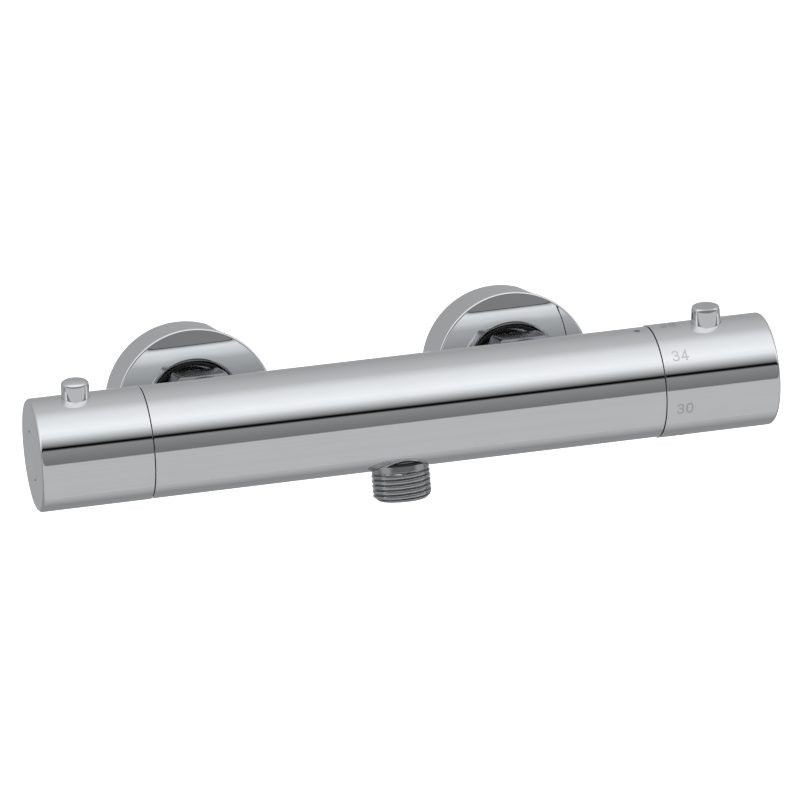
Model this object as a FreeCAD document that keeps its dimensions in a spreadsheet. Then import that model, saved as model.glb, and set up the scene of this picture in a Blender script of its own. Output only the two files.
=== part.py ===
import FreeCAD
import Part
import math
import os
import re
import Sketcher

# Thermostatic bar mixer for a shower, wall fixed, with the hose outlet below.
# Frame: +X right, +Y into the wall, +Z up; the origin lies on the wall plane, midway
# between the two inlets, at the height of the bar's axis. Millimetres and degrees.
#
# Nearly every piece is turned, so each is drawn in a frame whose X axis is its own axis:
#   left and right end pieces: X runs outwards from the bar's end face
#   inlet pieces: X runs from the bar's axis to the wall
#   outlet pieces: X runs down from the bar's axis
#   push buttons: X runs outwards from the bar's axis through the button

SIZES = {
    # bar and where it hangs
    "inlet_spacing": 120.0,
    "axis_to_wall": 85.0,
    "body_dia": 40.0,
    "body_left": 91.0,
    "body_right": 94.5,
    "body_edge": 0.5,
    "seam_gap": 0.5,
    # clearances, and how far a joined form or a cut runs into or past its neighbour
    "slip": 0.05,
    "running": 0.1,
    "bite": 1.0,
    # waterways cast in the bar
    "mixed_way_dia": 14.0,
    "gallery_dia": 7.0,
    "gallery_wall": 2.0,
    "gallery_end": 38.0,
    "hot_port_floor": 12.0,
    "port_dia": 13.0,
    # inlet stubs of the bar and the screwed tails
    "boss_dia": 25.0,
    "boss_reach": 24.5,
    "tail_thread_dia": 20.955,
    "tail_thread_length": 6.0,
    "tail_collar_dia": 25.0,
    "tail_collar_width": 2.5,
    "tail_tube_dia": 19.6,
    "tail_way_dia": 13.0,
    "tail_flange_dia": 25.2,
    "tail_flange_width": 3.5,
    "tail_end": 47.5,
    "washer_width": 2.0,
    "strainer_width": 0.8,
    # union nut
    "nut_flats": 30.0,
    "nut_lip": 3.0,
    "nut_length": 17.0,
    "nut_face_dia": 29.4,
    "nut_chamfer": 1.3,
    # check valve inside each tail
    "check_dia": 17.0,
    "check_length": 13.0,
    "check_seat_dia": 11.0,
    "check_seat_width": 3.0,
    "check_bore_dia": 15.0,
    "check_rest_width": 1.2,
    "check_rest_dia": 5.0,
    "poppet_dia": 13.0,
    "poppet_width": 2.0,
    "poppet_stem_dia": 3.0,
    "poppet_stem_length": 6.0,
    # eccentric union between the tail and the wall
    "union_thread_dia": 26.441,
    "union_thread_length": 16.0,
    "union_bend_length": 9.0,
    "union_way_dia": 16.0,
    "wall_thread_dia": 20.955,
    "wall_thread_depth": 15.0,
    "wall_way_dia": 14.0,
    "wall_offset": 7.5,
    # rosette
    "rosette_dia": 59.2,
    "rosette_depth": 23.5,
    "rosette_wall": 1.4,
    "rosette_edge": 0.9,
    "rosette_crown": 0.7,
    "rosette_hole_dia": 33.0,
    "rosette_roll": 2.8,
    # hose outlet
    "outlet_dia": 20.955,
    "outlet_reach": 11.2,
    "outlet_chamfer": 1.4,
    "outlet_way_dia": 14.0,
    "outlet_way_top": 12.0,
    "outlet_pocket_dia": 23.4,
    "outlet_pocket_depth": 2.8,
    "outlet_collar_dia": 22.4,
    "outlet_collar_width": 2.2,
    "outlet_neck_dia": 18.4,
    "outlet_neck_length": 1.4,
    "outlet_screw_dia": 18.0,
    "outlet_screw_top": 14.5,
    "outlet_seal_width": 0.8,
    # flow cartridge, left end
    "flow_bore_dia": 19.0,
    "flow_bore_depth": 47.0,
    "flow_chamber_dia": 13.0,
    "flow_chamber_depth": 9.0,
    "flow_waist_dia": 15.2,
    "flow_waist_length": 9.0,
    "flow_land_length": 3.5,
    "flow_window_dia": 4.6,
    "flow_hex_flats": 24.0,
    "flow_hex_width": 5.0,
    "flow_neck_dia": 12.0,
    "flow_neck_length": 3.5,
    "flow_seal_width": 1.0,
    "disc_width": 2.4,
    "disc_hole_dia": 4.0,
    "disc_hole_circle": 7.0,
    "driver_dia": 12.4,
    "driver_width": 1.6,
    "driver_flats": 6.0,
    # thermostatic cartridge, right end
    "thermo_bore_dia": 28.0,
    "thermo_bore_depth": 68.5,
    "thermo_mouth_dia": 33.0,
    "thermo_mouth_depth": 9.0,
    "thermo_flange_width": 3.0,
    "thermo_chamber_dia": 18.0,
    "thermo_cover_width": 4.0,
    "thermo_nose_dia": 21.0,
    "thermo_nose_length": 11.0,
    "thermo_lip_dia": 15.0,
    "thermo_lip_width": 1.3,
    "thermo_seal_width": 1.2,
    "thermo_groove_width": 2.4,
    "thermo_groove_depth": 1.5,
    "thermo_groove_at": 46.0,
    "thermo_window_dia": 7.0,
    "hot_window_at": 61.5,
    "ring_nut_height": 8.0,
    "ring_nut_bore": 17.0,
    "ring_nut_slot": 4.0,
    "ring_nut_slot_depth": 2.5,
    "shuttle_start": 58.0,
    "shuttle_length": 18.0,
    "shuttle_bore": 13.0,
    "element_dia": 9.6,
    "element_length": 20.0,
    "element_collar_width": 3.0,
    "element_pin_dia": 3.2,
    "element_pin_length": 12.0,
    "push_cup_length": 12.0,
    "push_cup_wall": 1.5,
    "push_cup_end": 1.5,
    "thermo_foot_dia": 16.0,
    "thermo_foot_width": 3.0,
    # spindles, inserts, screws and caps of both handles
    "spindle_dia": 8.0,
    "spindle_end": 17.0,
    "spindle_chamfer": 0.5,
    "spindle_tap_depth": 10.0,
    "spline_count": 20,
    "spline_depth": 0.5,
    "spline_floor": 0.32,
    "spline_mouth": 0.72,
    "insert_dia": 15.0,
    "insert_start": 10.0,
    "insert_length": 8.0,
    "screw_dia": 4.0,
    "screw_reach": 8.5,
    "screw_head_dia": 7.6,
    "screw_head_width": 2.6,
    "screw_shelf": 4.0,
    "cap_dia": 17.4,
    "cap_width": 1.4,
    "cap_notch_dia": 1.1,
    "cap_notch_depth": 0.6,
    "cap_notch_inset": 0.15,
    "cap_notch_turn": 22.0,
    # stop rings
    "stop_ring_gap": 1.1,
    "stop_ring_width": 4.0,
    "stop_lug_width": 5.0,
    "stop_lug_height": 1.6,
    # handles
    "flow_handle_swell": 0.2,
    "flow_handle_length": 39.6,
    "temp_handle_swell": 0.8,
    "temp_handle_length": 42.3,
    "handle_wall": 2.0,
    "handle_end_wall": 7.0,
    "handle_edge": 1.4,
    "hub_dia": 19.0,
    # push buttons, on the line that faces the user a little
    "mark_tilt": 11.0,
    "flow_button_at": 23.5,
    "flow_button_dia": 9.9,
    "flow_button_top_dia": 9.9,
    "temp_button_at": 21.1,
    "temp_button_dia": 10.8,
    "temp_button_top_dia": 10.1,
    "button_rise": 6.3,
    "button_foot_depth": 4.0,
    "button_rim": 1.1,
    "button_rim_width": 1.0,
    "button_edge": 1.1,
    "button_spring_dia": 6.4,
    "button_spring_way": 7.0,
    "button_cover": 2.8,
    "button_seat_depth": 0.4,
    "spring_wire": 0.8,
}

# Sizes that follow the ones above. A spline's tooth is what its two grooves leave: its half
# widths are the distances of the groove's floor and mouth corners from the tooth's middle.
FOLLOWING = {
    "gallery_circle_dia": "body_dia - gallery_dia - 2 * gallery_wall",
    "outlet_end": "body_dia / 2 + outlet_reach",
    "outlet_pocket_level": "body_dia / 2 - outlet_pocket_depth",
    "flow_handle_dia": "body_dia + flow_handle_swell",
    "temp_handle_dia": "body_dia + temp_handle_swell",
    "stop_ring_dia": "flow_handle_dia - 2 * (handle_wall + stop_lug_height + stop_ring_gap)",
    "button_top": "body_dia / 2 + button_rise",
    "button_foot": "body_dia / 2 - button_foot_depth",
    "button_spring_top": "button_top - button_cover",
    "button_spring_seat": "hub_dia / 2 - button_seat_depth",
    "rosette_floor": "tail_end + washer_width + union_thread_length",
    "spline_root_radius": "spindle_dia / 2 - spline_depth",
    "spline_half_step": "180 / spline_count",
    "tooth_foot": "spline_root_radius * sin(spline_half_step) - spline_floor / 2 * cos(spline_half_step)",
    "tooth_tip": "(spindle_dia / 2 + slip) * sin(spline_half_step)"
                 " - spline_mouth / 2 * cos(spline_half_step)",
    "cap_notch_radius": "cap_dia / 2 - cap_notch_inset",
    "cap_notch_across": "cap_notch_radius * sin(cap_notch_turn)",
    "cap_notch_up": "cap_notch_radius * cos(cap_notch_turn)",
}

DOC = FreeCAD.newDocument("thermostatic_bar_mixer")
SHEET = DOC.addObject("Spreadsheet::Sheet", "sizes")


def enter(row, alias, content):
    """One named row of the sheet."""
    SHEET.set("A%d" % row, alias)
    SHEET.set("B%d" % row, content)
    SHEET.setAlias("B%d" % row, alias)


for row, (alias, size) in enumerate(SIZES.items(), start=1):
    enter(row, alias, str(size))
for row, (alias, formula) in enumerate(FOLLOWING.items(), start=len(SIZES) + 1):
    enter(row, alias, "=" + formula)
DOC.recompute()

X_AXIS = FreeCAD.Vector(1, 0, 0)
Y_AXIS = FreeCAD.Vector(0, 1, 0)
Z_AXIS = FreeCAD.Vector(0, 0, 1)
CROWN = "crown"
ROOT_OF_3 = str(math.sqrt(3))
TOLERANCE = 0.01


def bound(formula):
    """A formula in the sheet's names, written as the expression engine reads it."""
    return re.sub(r"[a-z][a-z_]*", lambda word: "sizes." + word.group(0), formula)


def number(formula):
    """The value that a formula has now."""
    return float(SHEET.evalExpression(bound(formula)))


# Turns from the drawing frames into the part's frame.
TILT = FreeCAD.Rotation(X_AXIS, number("mark_tilt"))
HALF_STEP = FreeCAD.Rotation(X_AXIS, number("spline_half_step"))
HALF_TURN = FreeCAD.Rotation(Z_AXIS, 180)
TO_WALL = FreeCAD.Rotation(Z_AXIS, 90)
DOWNWARDS = FreeCAD.Rotation(Y_AXIS, 90)
UPWARDS = FreeCAD.Rotation(Y_AXIS, -90)

# Each side: sign along X, frame of its fixed end pieces, frame of its handle.
SIDES = {"left": -1, "right": 1}
END_FACE = {"left": "-body_left", "right": "body_right"}
END_TURN = {"left": HALF_TURN, "right": FreeCAD.Rotation()}


def new_body(label, along_x="0", turn=FreeCAD.Rotation()):
    """An empty body on the bar's axis, at the stated place along it."""
    body = DOC.addObject("PartDesign::Body", label)
    body.Label = label
    body.Placement.Rotation = turn
    body.setExpression("Placement.Base.x", bound(along_x))
    body.setExpression("Placement.Base.y", bound("-axis_to_wall"))
    return body


def end_body(label, side):
    return new_body(label, END_FACE[side], END_TURN[side])


def handle_body(label, side):
    return new_body(label, END_FACE[side], TILT * END_TURN[side])


def inlet_body(label, side):
    return new_body(label, "%d * inlet_spacing / 2" % SIDES[side], TO_WALL)


def plane_of(body, role):
    return next(item for item in body.Origin.OriginFeatures if item.Role == role)


def sketch_on(body, name, role, level="0"):
    """A sketch on one of the body's own planes, moved along that plane's normal."""
    sketch = body.newObject("Sketcher::SketchObject", name)
    sketch.AttachmentSupport = [(plane_of(body, role), "")]
    sketch.MapMode = "FlatFace"
    if level != "0":
        sketch.setExpression("AttachmentOffset.Base.z", bound(level))
    return sketch


def pin_down(sketch, corner, kind, origin_line, formula):
    """Holds one coordinate of a sketch point at a formula."""
    line, end = corner
    if formula == "0":
        sketch.addConstraint(Sketcher.Constraint("PointOnObject", line, end, origin_line))
        return
    rule = Sketcher.Constraint(kind, -1, 1, line, end, number(formula))
    index = sketch.addConstraint(rule)
    sketch.setExpression("Constraints[%d]" % index, bound(formula))


def crowned(start, end):
    """An arc between two points whose centre lies on the sketch's first axis, and whether it
    runs backwards, from end to start."""
    centre = (end.Length ** 2 - start.Length ** 2) / (2 * (end.x - start.x))
    middle = FreeCAD.Vector(centre, 0, 0)
    first, second = start - middle, end - middle
    backwards = first.cross(second).z < 0
    if backwards:
        first, second = second, first
    angles = [math.atan2(arm.y, arm.x) for arm in (first, second)]
    return Part.ArcOfCircle(Part.Circle(middle, Z_AXIS, first.Length), *angles), backwards


def outline(body, name, corners, role="XY_Plane", level="0"):
    """A closed sketch. Each corner is two formulas, and a straight line runs to the next one,
    or after a corner with CROWN as its third item an arc centred on the first axis."""
    sketch = sketch_on(body, name, role, level)
    points = [FreeCAD.Vector(number(corner[0]), number(corner[1]), 0) for corner in corners]
    count = len(points)
    ends = []
    for index, corner in enumerate(corners):
        start, end = points[index], points[(index + 1) % count]
        if CROWN in corner:
            arc, backwards = crowned(start, end)
            sketch.addGeometry(arc)
            ends.append((2, 1) if backwards else (1, 2))
        else:
            sketch.addGeometry(Part.LineSegment(start, end))
            ends.append((1, 2))
    for index, corner in enumerate(corners):
        following = (index + 1) % count
        join = (index, ends[index][1], following, ends[following][0])
        sketch.addConstraint(Sketcher.Constraint("Coincident", *join))
        after, place = corners[following], (following, ends[following][0])
        if corner[0] == after[0]:
            sketch.addConstraint(Sketcher.Constraint("Vertical", index))
        else:
            pin_down(sketch, place, "DistanceX", -2, after[0])
        if corner[1] == after[1]:
            sketch.addConstraint(Sketcher.Constraint("Horizontal", index))
        else:
            pin_down(sketch, place, "DistanceY", -1, after[1])
        if CROWN in corner:
            sketch.addConstraint(Sketcher.Constraint("PointOnObject", index, 3, -1))
    return sketch


def circle_on(body, name, role, centre, diameter, level="0"):
    """A sketch of one circle; the centre is two formulas."""
    sketch = sketch_on(body, name, role, level)
    middle = FreeCAD.Vector(number(centre[0]), number(centre[1]), 0)
    sketch.addGeometry(Part.Circle(middle, Z_AXIS, number(diameter) / 2))
    pin_down(sketch, (0, 3), "DistanceX", -2, centre[0])
    pin_down(sketch, (0, 3), "DistanceY", -1, centre[1])
    index = sketch.addConstraint(Sketcher.Constraint("Diameter", 0, number(diameter)))
    sketch.setExpression("Constraints[%d]" % index, bound(diameter))
    return sketch


def turned(body, name, corners, kind="PartDesign::Revolution"):
    """Turns a profile about the body's X axis; corners are (along the axis, from the axis)."""
    sketch = outline(body, name + "_profile", corners)
    feature = body.newObject(kind, name)
    feature.Profile = sketch
    feature.ReferenceAxis = (sketch, ["H_Axis"])
    feature.Angle = 360
    return feature


def grooved(body, name, corners):
    return turned(body, name, corners, "PartDesign::Groove")


def padded(body, name, sketch, length):
    feature = body.newObject("PartDesign::Pad", name)
    feature.Profile = sketch
    feature.setExpression("Length", bound(length))
    return feature


def cut(body, name, sketch, length, along_normal=True):
    """Cuts a sketch's area away, from its plane along the plane's normal or against it."""
    feature = body.newObject("PartDesign::Pocket", name)
    feature.Profile = sketch
    feature.setExpression("Length", bound(length))
    feature.Reversed = along_normal
    return feature


def bored(body, name, role, centre, diameter, level, length, along_normal=True):
    sketch = circle_on(body, name + "_circle", role, centre, diameter, level)
    return cut(body, name, sketch, length, along_normal)


def repeated(body, name, feature, count):
    """The cut again, all round the X axis."""
    pattern = body.newObject("PartDesign::PolarPattern", name)
    pattern.Originals = [feature]
    pattern.Axis = (plane_of(body, "X_Axis"), [""])
    pattern.Angle = 360
    pattern.setExpression("Occurrences", bound(count))
    body.Tip = pattern
    return pattern


def rounded(body, name, feature, radius, chosen):
    """Rounds the circular edges that lie at a place along X and have a diameter."""
    DOC.recompute()
    place, diameter = (number(item) for item in chosen)
    edges = []
    for index, edge in enumerate(feature.Shape.Edges, start=1):
        if not isinstance(edge.Curve, Part.Circle):
            continue
        on_place = abs(edge.Curve.Center.x - place) < TOLERANCE
        if on_place and abs(edge.Curve.Radius - diameter / 2) < TOLERANCE:
            edges.append("Edge%d" % index)
    if not edges:
        raise ValueError("no edge to round on " + body.Label)
    fillet = body.newObject("PartDesign::Fillet", name)
    fillet.Base = (feature, edges)
    fillet.setExpression("Radius", bound(radius))
    return fillet


def ring(body, name, start, end, inner, outer):
    """A plain ring between two places along X; inner and outer are diameters."""
    low, high = "(%s) / 2" % inner, "(%s) / 2" % outer
    return turned(body, name, [(start, low), (start, high), (end, high), (end, low)])


def hexagon(body, name, flats, start, length):
    """A hexagonal prism along X with one flat facing up."""
    corner = "(%s) / %s" % (flats, ROOT_OF_3)
    half_corner = "(%s) / 2" % corner
    half = "(%s) / 2" % flats
    minus = "-(%s)"
    corners = [
        (corner, "0"),
        (half_corner, half),
        (minus % half_corner, half),
        (minus % corner, "0"),
        (minus % half_corner, minus % half),
        (half_corner, minus % half),
    ]
    sketch = outline(body, name + "_outline", corners, "YZ_Plane", start)
    return padded(body, name, sketch, length)


# --- the bar -------------------------------------------------------------------------------


def valve_body():
    """The cast bar: a bore for each cartridge, cast waterways, two stubs and the outlet."""
    body = new_body("valve_body")
    flow_floor = "-(body_left - flow_bore_depth)"
    thermo_floor = "body_right - thermo_bore_depth"
    thermo_step = "body_right - thermo_mouth_depth"
    shoulder = "body_dia / 2 - body_edge"
    turned(body, "bar", [
        ("-body_left", "flow_bore_dia / 2"),
        ("-body_left", shoulder),
        ("body_edge - body_left", "body_dia / 2"),
        ("body_right - body_edge", "body_dia / 2"),
        ("body_right", shoulder),
        ("body_right", "thermo_mouth_dia / 2"),
        (thermo_step, "thermo_mouth_dia / 2"),
        (thermo_step, "thermo_bore_dia / 2"),
        (thermo_floor, "thermo_bore_dia / 2"),
        (thermo_floor, "mixed_way_dia / 2"),
        (flow_floor, "mixed_way_dia / 2"),
        (flow_floor, "flow_bore_dia / 2"),
    ])
    for side, sign in SIDES.items():
        middle = ("%d * inlet_spacing / 2" % sign, "0")
        stub = circle_on(body, side + "_stub_circle", "XZ_Plane", middle, "boss_dia", "-boss_reach")
        padded(body, side + "_stub", stub, "boss_reach - thermo_bore_dia / 2 - bite")
        thread_level = "-(boss_reach - tail_thread_length)"
        bored(body, side + "_stub_thread", "XZ_Plane", middle, "tail_thread_dia",
              thread_level, "tail_thread_length", False)
    cold_port, hot_port = ("inlet_spacing / 2", "0"), ("-inlet_spacing / 2", "0")
    bored(body, "cold_port", "XZ_Plane", cold_port, "port_dia",
          "-mixed_way_dia / 2", "boss_reach", False)
    bored(body, "hot_port", "XZ_Plane", hot_port, "port_dia",
          "-hot_port_floor", "boss_reach", False)
    gallery = "gallery_circle_dia / 2"
    bored(body, "hot_gallery", "YZ_Plane", (gallery, "0"), "gallery_dia",
          "-inlet_spacing / 2", "inlet_spacing / 2 + gallery_end")
    waist_middle = "flow_bore_depth - flow_land_length - flow_waist_length / 2"
    below_waist = "-(body_left - (%s))" % waist_middle
    bored(body, "mixed_gallery", "YZ_Plane", ("0", "-" + gallery), "gallery_dia",
          below_waist, "body_left - (%s)" % waist_middle)
    bored(body, "mixed_drop", "XY_Plane", (below_waist, "0"), "gallery_dia",
          "-" + gallery, gallery)
    bored(body, "outlet_way", "XY_Plane", ("0", "0"), "outlet_screw_dia",
          "-outlet_way_top", "body_dia / 2", False)
    bored(body, "outlet_pocket", "XY_Plane", ("0", "0"), "outlet_pocket_dia",
          "-outlet_pocket_level", "body_dia / 2", False)


def outlet_nipple():
    """The screwed-in hose nipple, with a collar in the bar's pocket."""
    body = new_body("outlet_nipple", "0", DOWNWARDS)
    seat = "outlet_pocket_level + outlet_seal_width"
    collar_end = seat + " + outlet_collar_width"
    neck_end = collar_end + " + outlet_neck_length"
    turned(body, "nipple", [
        ("outlet_screw_top", "outlet_way_dia / 2"),
        ("outlet_screw_top", "outlet_screw_dia / 2"),
        (seat, "outlet_screw_dia / 2"),
        (seat, "outlet_collar_dia / 2"),
        (collar_end, "outlet_collar_dia / 2"),
        (collar_end, "outlet_neck_dia / 2"),
        (neck_end, "outlet_neck_dia / 2"),
        (neck_end, "outlet_dia / 2"),
        ("outlet_end - outlet_chamfer", "outlet_dia / 2"),
        ("outlet_end", "outlet_dia / 2 - outlet_chamfer"),
        ("outlet_end", "outlet_way_dia / 2"),
    ])


def outlet_seal():
    """The flat ring between the nipple's collar and the bar."""
    body = new_body("outlet_seal", "0", DOWNWARDS)
    seat = "outlet_pocket_level + outlet_seal_width"
    ring(body, "seal", "outlet_pocket_level", seat, "outlet_screw_dia", "outlet_collar_dia")


# --- inlets, the same on both sides ----------------------------------------------------------


def inlet_tail(side):
    """The tail screwed into the bar's stub; its flange is what the union nut pulls on."""
    body = inlet_body(side + "_inlet_tail", side)
    collar_end = "boss_reach + tail_collar_width"
    pocket = "tail_end - check_length"
    flange = "tail_end - tail_flange_width"
    turned(body, "tail", [
        ("boss_reach - tail_thread_length", "tail_way_dia / 2"),
        ("boss_reach - tail_thread_length", "tail_thread_dia / 2"),
        ("boss_reach", "tail_thread_dia / 2"),
        ("boss_reach", "tail_collar_dia / 2"),
        (collar_end, "tail_collar_dia / 2"),
        (collar_end, "tail_tube_dia / 2"),
        (flange, "tail_tube_dia / 2"),
        (flange, "tail_flange_dia / 2"),
        ("tail_end", "tail_flange_dia / 2"),
        ("tail_end", "check_dia / 2"),
        (pocket, "check_dia / 2"),
        (pocket, "tail_way_dia / 2"),
    ])


def check_cage(side):
    """The check valve's housing, with the seat towards the wall and the spring's rest inside."""
    body = inlet_body(side + "_check_cage", side)
    start = "tail_end - check_length"
    rest = start + " + check_rest_width"
    seat = "tail_end - check_seat_width"
    turned(body, "cage", [
        (start, "check_rest_dia / 2"),
        (start, "check_dia / 2"),
        ("tail_end", "check_dia / 2"),
        ("tail_end", "check_seat_dia / 2"),
        (seat, "check_seat_dia / 2"),
        (seat, "check_bore_dia / 2"),
        (rest, "check_bore_dia / 2"),
        (rest, "check_rest_dia / 2"),
    ])


def check_poppet(side):
    body = inlet_body(side + "_check_poppet", side)
    face = "tail_end - check_seat_width"
    back = face + " - poppet_width"
    tip = back + " - poppet_stem_length"
    turned(body, "poppet", [
        (face, "0"),
        (face, "poppet_dia / 2"),
        (back, "poppet_dia / 2"),
        (back, "poppet_stem_dia / 2"),
        (tip, "poppet_stem_dia / 2"),
        (tip, "0"),
    ])


def check_spring(side):
    """The light spring between the cage's rest and the poppet, as the sleeve it fills."""
    body = inlet_body(side + "_check_spring", side)
    start = "tail_end - check_length + check_rest_width"
    end = "tail_end - check_seat_width - poppet_width"
    outer = "check_rest_dia + 4 * spring_wire"
    ring(body, "spring", start, end, outer + " - 2 * spring_wire", outer)


def inlet_washer(side):
    body = inlet_body(side + "_inlet_washer", side)
    end = "tail_end + washer_width"
    ring(body, "washer", "tail_end", end, "union_way_dia", "tail_flange_dia")


def strainer(side):
    """The filter disc held in the washer's bore."""
    body = inlet_body(side + "_strainer", side)
    end = "tail_end + strainer_width"
    turned(body, "disc", [
        ("tail_end", "0"),
        ("tail_end", "union_way_dia / 2"),
        (end, "union_way_dia / 2"),
        (end, "0"),
    ])


def union_nut(side):
    """The hexagon nut that draws the tail's flange against the union."""
    body = inlet_body(side + "_union_nut", side)
    start = "tail_end - tail_flange_width - nut_lip"
    end = start + " + nut_length"
    hexagon(body, "hexagon", "nut_flats", start, "nut_length")
    corner = "nut_flats / " + ROOT_OF_3
    for name, face, depth in (("front", start, "nut_chamfer"), ("rear", end, "-nut_chamfer")):
        grooved(body, name + "_corners", [
            (face, "nut_face_dia / 2"),
            ("%s + %s" % (face, depth), corner + " + running"),
            (face, corner + " + running"),
        ])
    grooved(body, "lip_bore", [
        (start, "0"),
        (start, "tail_tube_dia / 2 + running"),
        ("tail_end - tail_flange_width", "tail_tube_dia / 2 + running"),
        ("tail_end - tail_flange_width", "union_thread_dia / 2"),
        (end, "union_thread_dia / 2"),
        (end, "0"),
    ])


def eccentric_union(side):
    """The eccentric union: a larger thread for the nut, a smaller one, lower, for the wall."""
    body = inlet_body(side + "_s_union", side)
    start = "tail_end + washer_width"
    bend = start + " + union_thread_length"
    straight = bend + " + union_bend_length"
    wall_end = "axis_to_wall + wall_thread_depth"
    large = circle_on(body, "large_circle", "YZ_Plane", ("0", "0"), "union_thread_dia", start)
    padded(body, "large_thread", large, "union_thread_length")
    bottom = circle_on(body, "bend_start", "YZ_Plane", ("0", "0"), "union_thread_dia", bend)
    top = circle_on(body, "bend_end", "YZ_Plane", ("0", "-wall_offset"), "wall_thread_dia", straight)
    loft = body.newObject("PartDesign::AdditiveLoft", "bend")
    loft.Profile = bottom
    loft.Sections = [top]
    loft.Ruled = True
    small = circle_on(body, "small_circle", "YZ_Plane", ("0", "-wall_offset"),
                      "wall_thread_dia", straight)
    padded(body, "small_thread", small, "%s - (%s)" % (wall_end, straight))
    bored(body, "large_way", "YZ_Plane", ("0", "0"), "union_way_dia",
          start, "union_thread_length + union_bend_length / 2")
    bored(body, "small_way", "YZ_Plane", ("0", "-wall_offset"), "wall_way_dia",
          bend, "%s - (%s)" % (wall_end, bend))


def rosette(side):
    """The deep cup that hides the union. Its crowned face rolls back round the nut into a
    well, whose floor sits on the union's large thread; its rim stands on the wall."""
    body = inlet_body(side + "_rosette", side)
    face = "axis_to_wall - rosette_depth"
    crest = face + " - rosette_crown"
    inside = face + " + rosette_wall"
    well = "rosette_hole_dia / 2"
    cup = turned(body, "cup", [
        ("rosette_floor - rosette_wall", "union_thread_dia / 2"),
        ("rosette_floor - rosette_wall", well),
        (crest, well, CROWN),
        (face, "rosette_dia / 2"),
        ("axis_to_wall", "rosette_dia / 2"),
        ("axis_to_wall", "rosette_dia / 2 - rosette_wall"),
        (inside, "rosette_dia / 2 - rosette_wall"),
        (inside, well + " + rosette_wall"),
        ("rosette_floor", well + " + rosette_wall"),
        ("rosette_floor", "union_thread_dia / 2"),
    ])
    edge = rounded(body, "soft_edge", cup, "rosette_edge", (face, "rosette_dia"))
    rounded(body, "rolled_rim", edge, "rosette_roll", (crest, "rosette_hole_dia"))


# --- the drive that both handles share -------------------------------------------------------


def spline_groove(body, name, inner, inner_width, outer, outer_width, start, length):
    """One groove along X, cut between two distances from the axis, with its half widths."""
    minus = "-(%s)"
    outline_of_groove = outline(body, name + "_outline", [
        (inner_width, inner),
        (outer_width, outer),
        (minus % outer_width, outer),
        (minus % inner_width, inner),
    ], "YZ_Plane", start)
    return cut(body, name, outline_of_groove, length)


def spindle_end(body):
    """The end of a spindle that drives a handle: tapped for its screw, splined for its insert."""
    bored(body, "tap", "YZ_Plane", ("0", "0"), "screw_dia",
          "spindle_end - spindle_tap_depth", "spindle_tap_depth")
    groove = spline_groove(body, "spline", "spline_root_radius", "spline_floor / 2",
                           "spindle_dia / 2 + slip", "spline_mouth / 2",
                           "insert_start", "spindle_end - insert_start")
    repeated(body, "splines", groove, "spline_count")


def handle_insert(label, side):
    """The plastic bush in the handle's hub, whose inner teeth fill the spindle's splines. It is
    turned half a step from the spindle, so that its grooves take the spindle's teeth."""
    body = new_body(label, END_FACE[side], END_TURN[side] * HALF_STEP)
    ring(body, "bush", "insert_start", "insert_start + insert_length",
         "2 * (spline_root_radius + slip)", "insert_dia")
    groove = spline_groove(body, "spline", "spline_root_radius", "tooth_foot + slip",
                           "spindle_dia / 2 + slip", "tooth_tip + slip",
                           "insert_start", "insert_length")
    repeated(body, "splines", groove, "spline_count")


# --- flow cartridge, left end ----------------------------------------------------------------


def flow_cartridge():
    """The ceramic cartridge's housing, screwed into the left bore by its hexagon."""
    body = end_body("flow_cartridge", "left")
    nose = "flow_seal_width - flow_bore_depth"
    land_end = nose + " - flow_seal_width + flow_land_length"
    waist_end = land_end + " + flow_waist_length"
    chamber_end = nose + " + flow_chamber_depth"
    neck_end = "flow_hex_width + flow_neck_length"
    hexagon(body, "hexagon", "flow_hex_flats", "0", "flow_hex_width")
    turned(body, "barrel", [
        (nose, "0"),
        (nose, "flow_bore_dia / 2 - slip"),
        (land_end, "flow_bore_dia / 2 - slip"),
        (land_end, "flow_waist_dia / 2"),
        (waist_end, "flow_waist_dia / 2"),
        (waist_end, "flow_bore_dia / 2 - slip"),
        ("0", "flow_bore_dia / 2 - slip"),
        ("0", "flow_neck_dia / 2"),
        (neck_end, "flow_neck_dia / 2"),
        (neck_end, "0"),
    ])
    grooved(body, "bore", [
        (nose, "0"),
        (nose, "flow_chamber_dia / 2"),
        (chamber_end, "flow_chamber_dia / 2"),
        (chamber_end, "spindle_dia / 2 + slip"),
        (neck_end, "spindle_dia / 2 + slip"),
        (neck_end, "0"),
    ])
    window = circle_on(body, "window_circle", "XY_Plane",
                       (chamber_end + " - flow_window_dia / 2", "0"),
                       "flow_window_dia", "-flow_bore_dia / 2")
    cut(body, "windows", window, "flow_bore_dia")


def flow_nose_seal():
    body = end_body("flow_nose_seal", "left")
    ring(body, "seal", "-flow_bore_depth", "flow_seal_width - flow_bore_depth",
         "disc_hole_circle + disc_hole_dia", "flow_bore_dia - 2 * slip")


def ceramic_disc(label, start, across):
    """A polished disc with two ports; the moving one has them a quarter turn round."""
    body = end_body(label, "left")
    end = start + " + disc_width"
    turned(body, "disc", [
        (start, "0"),
        (start, "flow_chamber_dia / 2 - slip"),
        (end, "flow_chamber_dia / 2 - slip"),
        (end, "0"),
    ])
    for name, place in (("first", "disc_hole_circle / 2"), ("second", "-disc_hole_circle / 2")):
        centre = (place, "0") if across else ("0", place)
        bored(body, name + "_port", "YZ_Plane", centre, "disc_hole_dia", start, "disc_width")


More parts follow.
